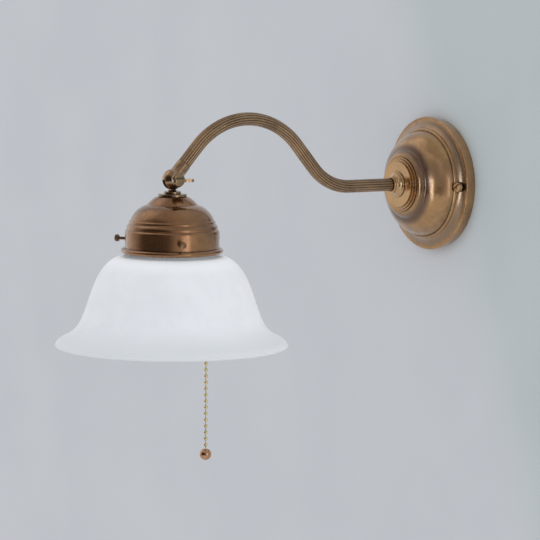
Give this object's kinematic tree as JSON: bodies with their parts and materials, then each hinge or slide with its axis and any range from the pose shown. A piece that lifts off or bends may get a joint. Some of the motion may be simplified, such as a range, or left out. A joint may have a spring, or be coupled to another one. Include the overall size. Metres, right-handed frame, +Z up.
{
  "type": "wall sconce",
  "caption": "Wall sconce: a turned rose and a reeded swan-neck arm carry a tilting head with an opal glass bell shade and a pull-chain switch.",
  "frame": {"origin": "centre of the wall rose's back face, on the wall", "axes": "+Y points into the wall, out of the back face; the arm stands out towards -Y; +Z is up; +X is to the right for someone who faces the wall"},
  "size_m": [0.2, 0.379, 0.3013],
  "materials": {
    "antique_brass": "antique brass, brushed and patinated brown with golden rubbed edges",
    "chain_brass": "polished light brass",
    "plain_brass": "plain turned brass",
    "opal_glass": "satin white opal glass",
    "bracket_steel": "zinc-plated steel",
    "terminal_plastic": "moulded insulating plastic",
    "switch_moulding": "dark moulded phenolic",
    "porcelain": "glazed white porcelain",
    "flex_sheath": "round flex sheath",
    "lead_insulation": "insulated copper leads"
  },
  "bodies": {
    "wall_arm": {"wall_bracket": "bracket_steel", "wall_rose": "antique_brass", "rose_screws": "antique_brass", "terminal_block": "terminal_plastic", "terminal_clamps": "plain_brass", "terminal_screws": "bracket_steel", "earth_screw": "bracket_steel", "arm_collar": "antique_brass", "arm_nipple": "plain_brass", "nipple_washer": "plain_brass", "nipple_nut": "plain_brass", "cable_bush": "terminal_plastic", "arm_flex": "flex_sheath", "arm_leads": "lead_insulation", "arm_tube": "antique_brass", "knuckle_fork": "antique_brass"},
    "thumb_screw": {"thumb_screw": "antique_brass"},
    "lamp_head": {"knuckle_tongue": "antique_brass", "knuckle_washer": "antique_brass", "gallery": "antique_brass", "gallery_nut": "plain_brass", "glass_shade": "opal_glass", "head_flex": "flex_sheath", "holder_cap": "antique_brass", "holder_shell": "antique_brass", "holder_core": "porcelain", "holder_liner": "porcelain", "screw_shell": "plain_brass", "centre_contact": "plain_brass", "switch_housing": "switch_moulding", "chain_guide": "chain_brass"},
    "gallery_screw_1": {"gallery_screw_1": "antique_brass"},
    "gallery_screw_2": {"gallery_screw_2": "antique_brass"},
    "gallery_screw_3": {"gallery_screw_3": "antique_brass"},
    "pull_plunger": {"switch_plunger": "chain_brass"},
    "pull_chain": {"pull_chain": "chain_brass", "pull_knob": "antique_brass"}
  },
  "joints": [
    {"name": "head_tilt", "type": "hinge", "parent": "wall_arm", "child": "lamp_head", "pos_m": [0, -0.279, 0.0122], "axis": [1, 0, 0], "range_deg": [-60, 40]},
    {"name": "thumb_screw_turn", "type": "hinge", "parent": "wall_arm", "child": "thumb_screw", "pos_m": [0, -0.279, 0.0122], "axis": [1, 0, 0], "range_deg": [0, 360]},
    {"name": "gallery_screw_1_travel", "type": "slide", "parent": "lamp_head", "child": "gallery_screw_1", "axis": [0.9342, -0.3567, 0], "range_m": [0, 0.002]},
    {"name": "gallery_screw_2_travel", "type": "slide", "parent": "lamp_head", "child": "gallery_screw_2", "axis": [-0.1582, 0.9874, 0], "range_m": [0, 0.002]},
    {"name": "gallery_screw_3_travel", "type": "slide", "parent": "lamp_head", "child": "gallery_screw_3", "axis": [-0.776, -0.6307, 0], "range_m": [0, 0.002]},
    {"name": "switch_pull", "type": "slide", "parent": "lamp_head", "child": "pull_plunger", "axis": [0, 0, -1], "range_m": [0, 0.005], "stiffness_N_per_m": 600, "springref_m": -0.003},
    {"name": "chain_swing", "type": "hinge", "parent": "pull_plunger", "child": "pull_chain", "pos_m": [0, -0.2441, -0.0796], "axis": [1, 0, 0], "range_deg": [-10, 35]}
  ]
}
